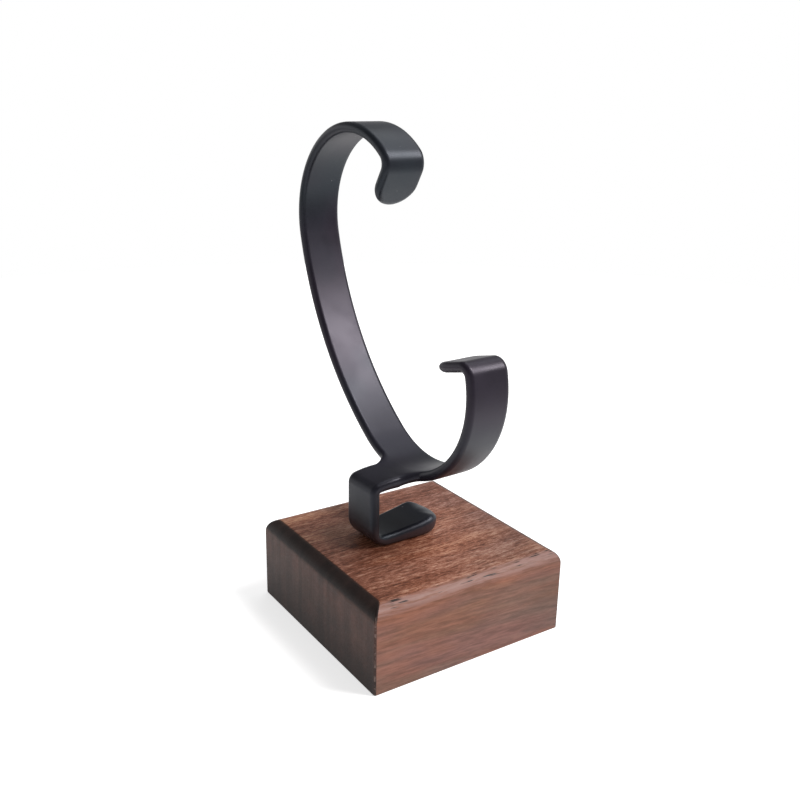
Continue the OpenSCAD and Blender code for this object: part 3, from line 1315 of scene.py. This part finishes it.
@dataclass
class Studio:
    """Pale floor, a white sweep under a dimmer ceiling, a window light and a soft fill.

    The floor glows for the camera, and in mirrored rays it fades outwards and has a brighter patch
    on the right. The sweep is dimmer in front of the stand.
    """

    floor_radius: float = 0.45
    floor_steps: int = 96
    floor_colour: Colour = (0.80, 0.80, 0.80)
    floor_glow: float = 0.66
    mirror_glow: Fade = Fade(0.06, 0.32, 0.46, 0.10)
    mirror_shade: Fade = Fade(0.06, 0.32, 1.0, 0.55)
    patch_right: Fade = Fade(0.02, 0.07)
    patch_reach: Fade = Fade(0.17, 0.11)
    patch_glow: Fade = Fade(0.0, 1.0, 1.0, 2.1)
    surround: float = 0.26
    sweep: Fade = Fade(0.10, 0.42, 1.0, 0.20)
    front: Fade = Fade(-0.9, -0.5, 0.4, 1.0)
    window: Lamp = Lamp("window", (0.505, -0.430, 0.750), distance=1.5, size=(0.45, 1.02), power=24.0,
                        colour=(1.0, 0.98, 0.97))
    fill: Lamp = Lamp("overhead", (0.45, 0.25, 0.85), distance=1.0, size=(0.6, 0.6), power=1.6,
                      colour=(0.95, 0.97, 1.0))
    target: Triple = (0.0, 0.005, 0.05)

    def rays(self, graph: NodeGraph, *names: str) -> Socket:
        """Adds a value that is 1 for some kinds of rays.

        Args:
            graph: The graph to add to.
            names: The outputs of the light path node.

        Returns:
            The value's socket.
        """
        path = graph.add("ShaderNodeLightPath")
        total = path.outputs[names[0]]
        for name in names[1:]:
            total = graph.math("MAXIMUM", total, path.outputs[name])
        return total

    def build_world(self) -> None:
        """Sets the surround: white for the camera, a sweep in mirrored rays, and a dim light otherwise."""
        world = bpy.data.worlds.new("surround")
        bpy.context.scene.world = world
        world.use_nodes = True
        graph = NodeGraph.inside(world.node_tree)
        way = graph.split(graph.add("ShaderNodeTexCoord").outputs["Generated"])
        sweep = graph.product(graph.fade(way["Z"], self.sweep), graph.fade(way["Y"], self.front))
        level = graph.blend(self.rays(graph, "Is Glossy Ray", "Is Transmission Ray"), self.surround, sweep)
        level = graph.blend(self.rays(graph, "Is Camera Ray"), level, 1.0)
        back = graph.add("ShaderNodeBackground", {"Color": rgba(WHITE), "Strength": level})
        output = graph.add("ShaderNodeOutputWorld")
        graph.tree.links.new(back.outputs[0], output.inputs["Surface"])

    def floor_finish(self) -> bpy.types.Material:
        """Builds the floor's finish.

        Returns:
            The material.
        """
        graph = NodeGraph("pale_floor")
        spot = graph.add("ShaderNodeTexCoord").outputs["Object"]
        away = graph.vector_length(spot)
        mirrored = self.rays(graph, "Is Glossy Ray", "Is Transmission Ray")
        patch = graph.product(graph.fade(graph.split(spot)["X"], self.patch_right),
                              graph.fade(away, self.patch_reach))
        seen = graph.product(graph.fade(away, self.mirror_glow), graph.fade(patch, self.patch_glow))
        glow = graph.blend(self.rays(graph, "Is Camera Ray"), graph.product(mirrored, seen), self.floor_glow)
        shade = graph.blend(mirrored, 1.0, graph.fade(away, self.mirror_shade))
        colour = graph.tint(self.floor_colour, graph.grey(shade))
        diffuse = graph.add("ShaderNodeBsdfDiffuse", {"Color": colour})
        lit = graph.add("ShaderNodeEmission", {"Color": rgba(WHITE), "Strength": glow})
        both = graph.add("ShaderNodeAddShader", {0: diffuse.outputs[0], 1: lit.outputs[0]})
        graph.tree.links.new(both.outputs[0], graph.output.inputs["Surface"])
        return graph.material

    def build_floor(self) -> None:
        """Lays the floor, which keeps the stand's shadow."""
        bm = bmesh.new()
        bmesh.ops.create_circle(bm, cap_ends=True, segments=self.floor_steps, radius=self.floor_radius)
        mesh = bpy.data.meshes.new("floor")
        bm.to_mesh(mesh)
        bm.free()
        mesh.materials.append(self.floor_finish())
        floor = bpy.data.objects.new("floor", mesh)
        bpy.context.collection.objects.link(floor)

    def build(self) -> None:
        """Builds the world, the floor and the lamps."""
        self.build_world()
        self.build_floor()
        for lamp in (self.window, self.fill):
            lamp.hang(Vector(self.target))


@dataclass(frozen=True)
class PhotoCamera:
    """The photo's camera, from a fit to the block's and the ring's outlines."""

    azimuth: float = -0.590036
    elevation: float = 0.323476
    roll: float = 0.0192606
    lens: float = 43.057
    sensor: float = 36.0
    place: Triple = (-0.1143615, -0.165804, 0.1202805)

    def build(self) -> None:
        """Adds the camera and makes it the scene's own."""
        level = math.cos(self.elevation)
        back = Vector((math.sin(self.azimuth) * level, -math.cos(self.azimuth) * level,
                       math.sin(self.elevation)))
        right = Vector((math.cos(self.azimuth), math.sin(self.azimuth), 0.0))
        up = back.cross(right)
        cos, sin = math.cos(self.roll), math.sin(self.roll)
        turn = Matrix((cos * right + sin * up, cos * up - sin * right, back)).transposed().to_4x4()
        data = bpy.data.cameras.new("photo_camera")
        data.lens = self.lens
        data.sensor_width = self.sensor
        camera = bpy.data.objects.new("photo_camera", data)
        camera.matrix_world = Matrix.Translation(self.place) @ turn
        bpy.context.collection.objects.link(camera)
        bpy.context.scene.camera = camera


def report(piece: bpy.types.Object) -> None:
    """Logs a piece's name and number of faces."""
    LOG.info("%s: %d faces", piece.name, len(piece.data.polygons))


def main() -> None:
    """Builds the stand, dresses it and lights it."""
    logging.basicConfig(level=logging.INFO)
    bpy.context.scene.view_settings.view_transform = "Standard"
    PhotoCamera().build()
    Studio().build()
    report(WoodBlock().build(Walnut().build()))
    report(RingBracket().build(BlackCoat().build()))
    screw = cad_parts["fixing_screw"]
    steel = ScrewSteel().build()
    for slot in screw.material_slots:
        slot.material = steel
    report(screw)


if __name__ == "__main__":
    main()
